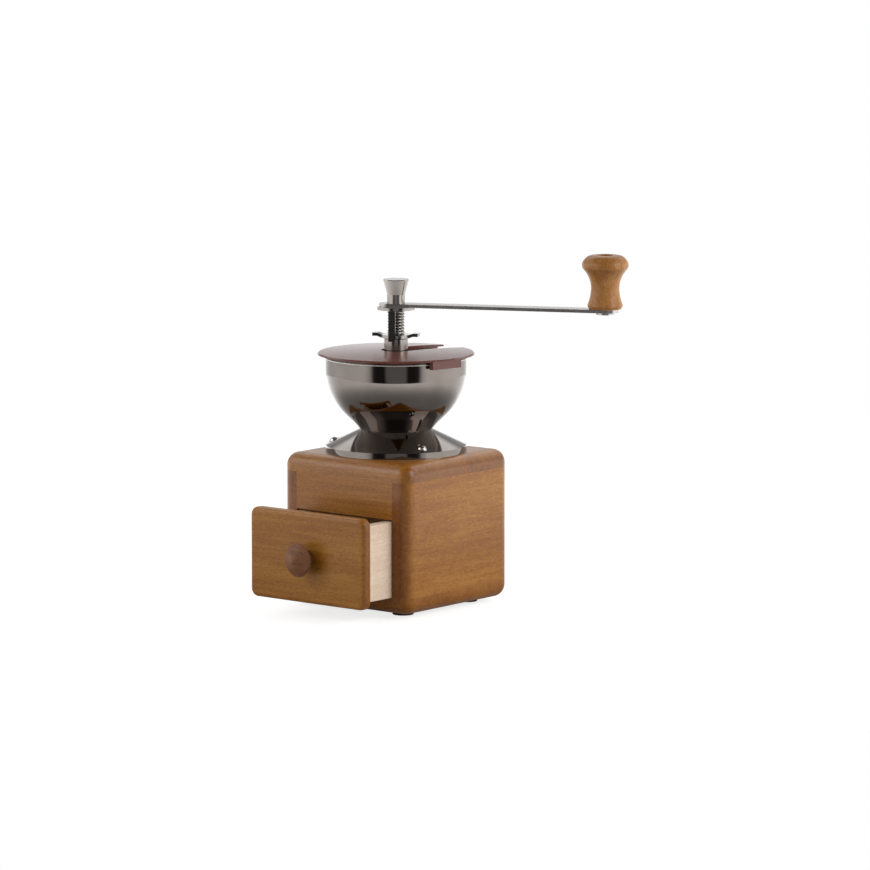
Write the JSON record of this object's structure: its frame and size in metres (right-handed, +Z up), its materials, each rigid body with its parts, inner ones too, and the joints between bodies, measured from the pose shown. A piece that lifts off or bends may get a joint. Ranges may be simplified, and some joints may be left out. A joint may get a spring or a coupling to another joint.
{
  "type": "hand coffee grinder",
  "caption": "Hand coffee grinder with a rounded wooden case, a pull-out drawer, a plated hopper bowl with a slotted sliding lid, and a crank with a turned wooden grip over a cone burr.",
  "frame": {"origin": "point of the spindle axis on the plane that the feet stand on", "axes": "+Z up along the spindle, the drawer opens towards -Y, +X is the right side seen from the drawer"},
  "size_m": [0.1833, 0.1683, 0.219],
  "materials": {
    "case_wood": "satin stained hardwood",
    "foot_rubber": "matt black rubber",
    "drawer_wood": "plain pale hardwood",
    "knob_wood": "matt dark turned wood",
    "grip_wood": "satin turned wood",
    "dark_plate": "polished dark nickel plate",
    "satin_steel": "satin steel",
    "arm_steel": "dark steel",
    "spring_steel": "drawn spring wire",
    "cast_metal": "as cast",
    "bush_brass": "machined",
    "burr_ceramic": "unglazed",
    "lid_plastic": "satin reddish brown plastic"
  },
  "bodies": {
    "case": {"top_board": "case_wood", "bottom_board": "case_wood", "left_side_board": "case_wood", "right_side_board": "case_wood", "front_panel": "case_wood", "back_panel": "case_wood", "rubber_feet": "foot_rubber", "base_flange": "dark_plate", "flange_screws": "satin_steel", "hopper_bowl": "dark_plate", "burr_housing": "cast_metal", "outer_burr": "burr_ceramic", "lower_bearing": "cast_metal", "shaft_bracket": "arm_steel", "bracket_screws": "satin_steel", "upper_bush": "bush_brass"},
    "drawer": {"drawer_front": "case_wood", "drawer_left_side": "drawer_wood", "drawer_right_side": "drawer_wood", "drawer_back": "drawer_wood", "drawer_bottom": "drawer_wood", "drawer_knob": "knob_wood", "knob_screw": "satin_steel"},
    "thrust": {"thrust_washer": "satin_steel"},
    "adjuster": {"adjusting_nut": "satin_steel"},
    "crank": {"spindle": "arm_steel", "inner_burr": "burr_ceramic", "burr_nut": "satin_steel", "stop_cage": "arm_steel", "lock_spring": "spring_steel", "crank_arm": "arm_steel", "handle_nut": "satin_steel", "grip_pin": "satin_steel"},
    "lock": {"lock_plate": "arm_steel"},
    "grip": {"grip": "grip_wood"},
    "lid": {"lid": "lid_plastic"}
  },
  "joints": [
    {"name": "crank_spin", "type": "hinge", "parent": "case", "child": "thrust", "pos_m": [0, 0, 0.1506], "axis": [0, 0, 1], "continuous": true},
    {"name": "nut_turn", "type": "hinge", "parent": "thrust", "child": "adjuster", "pos_m": [0, 0, 0.1521], "axis": [0, 0, 1], "range_deg": [-300, 12]},
    {"name": "grind_set", "type": "slide", "parent": "thrust", "child": "crank", "axis": [0, 0, 1], "range_m": [0, 0.0008], "stiffness_N_per_m": 200, "springref_m": 0.00645},
    {"name": "lock_lift", "type": "slide", "parent": "thrust", "child": "lock", "axis": [0, 0, 1], "range_m": [0, 0.004], "stiffness_N_per_m": 740, "springref_m": -0.003, "deforming": ["lock_spring"]},
    {"name": "grip_spin", "type": "hinge", "parent": "crank", "child": "grip", "pos_m": [0.11909, 0.05553, 0.19], "axis": [0, 0, 1], "continuous": true},
    {"name": "drawer_slide", "type": "slide", "parent": "case", "child": "drawer", "axis": [0, -1, 0], "range_m": [-0.0291, 0.05]},
    {"name": "lid_slide", "type": "slide", "parent": "case", "child": "lid", "axis": [-0.165, -0.9863, 0], "range_m": [0, 0.095]}
  ],
  "couplings": [
    {"joint": "nut_turn", "follows": "grind_set", "rad_per_m": -6283.2}
  ]
}
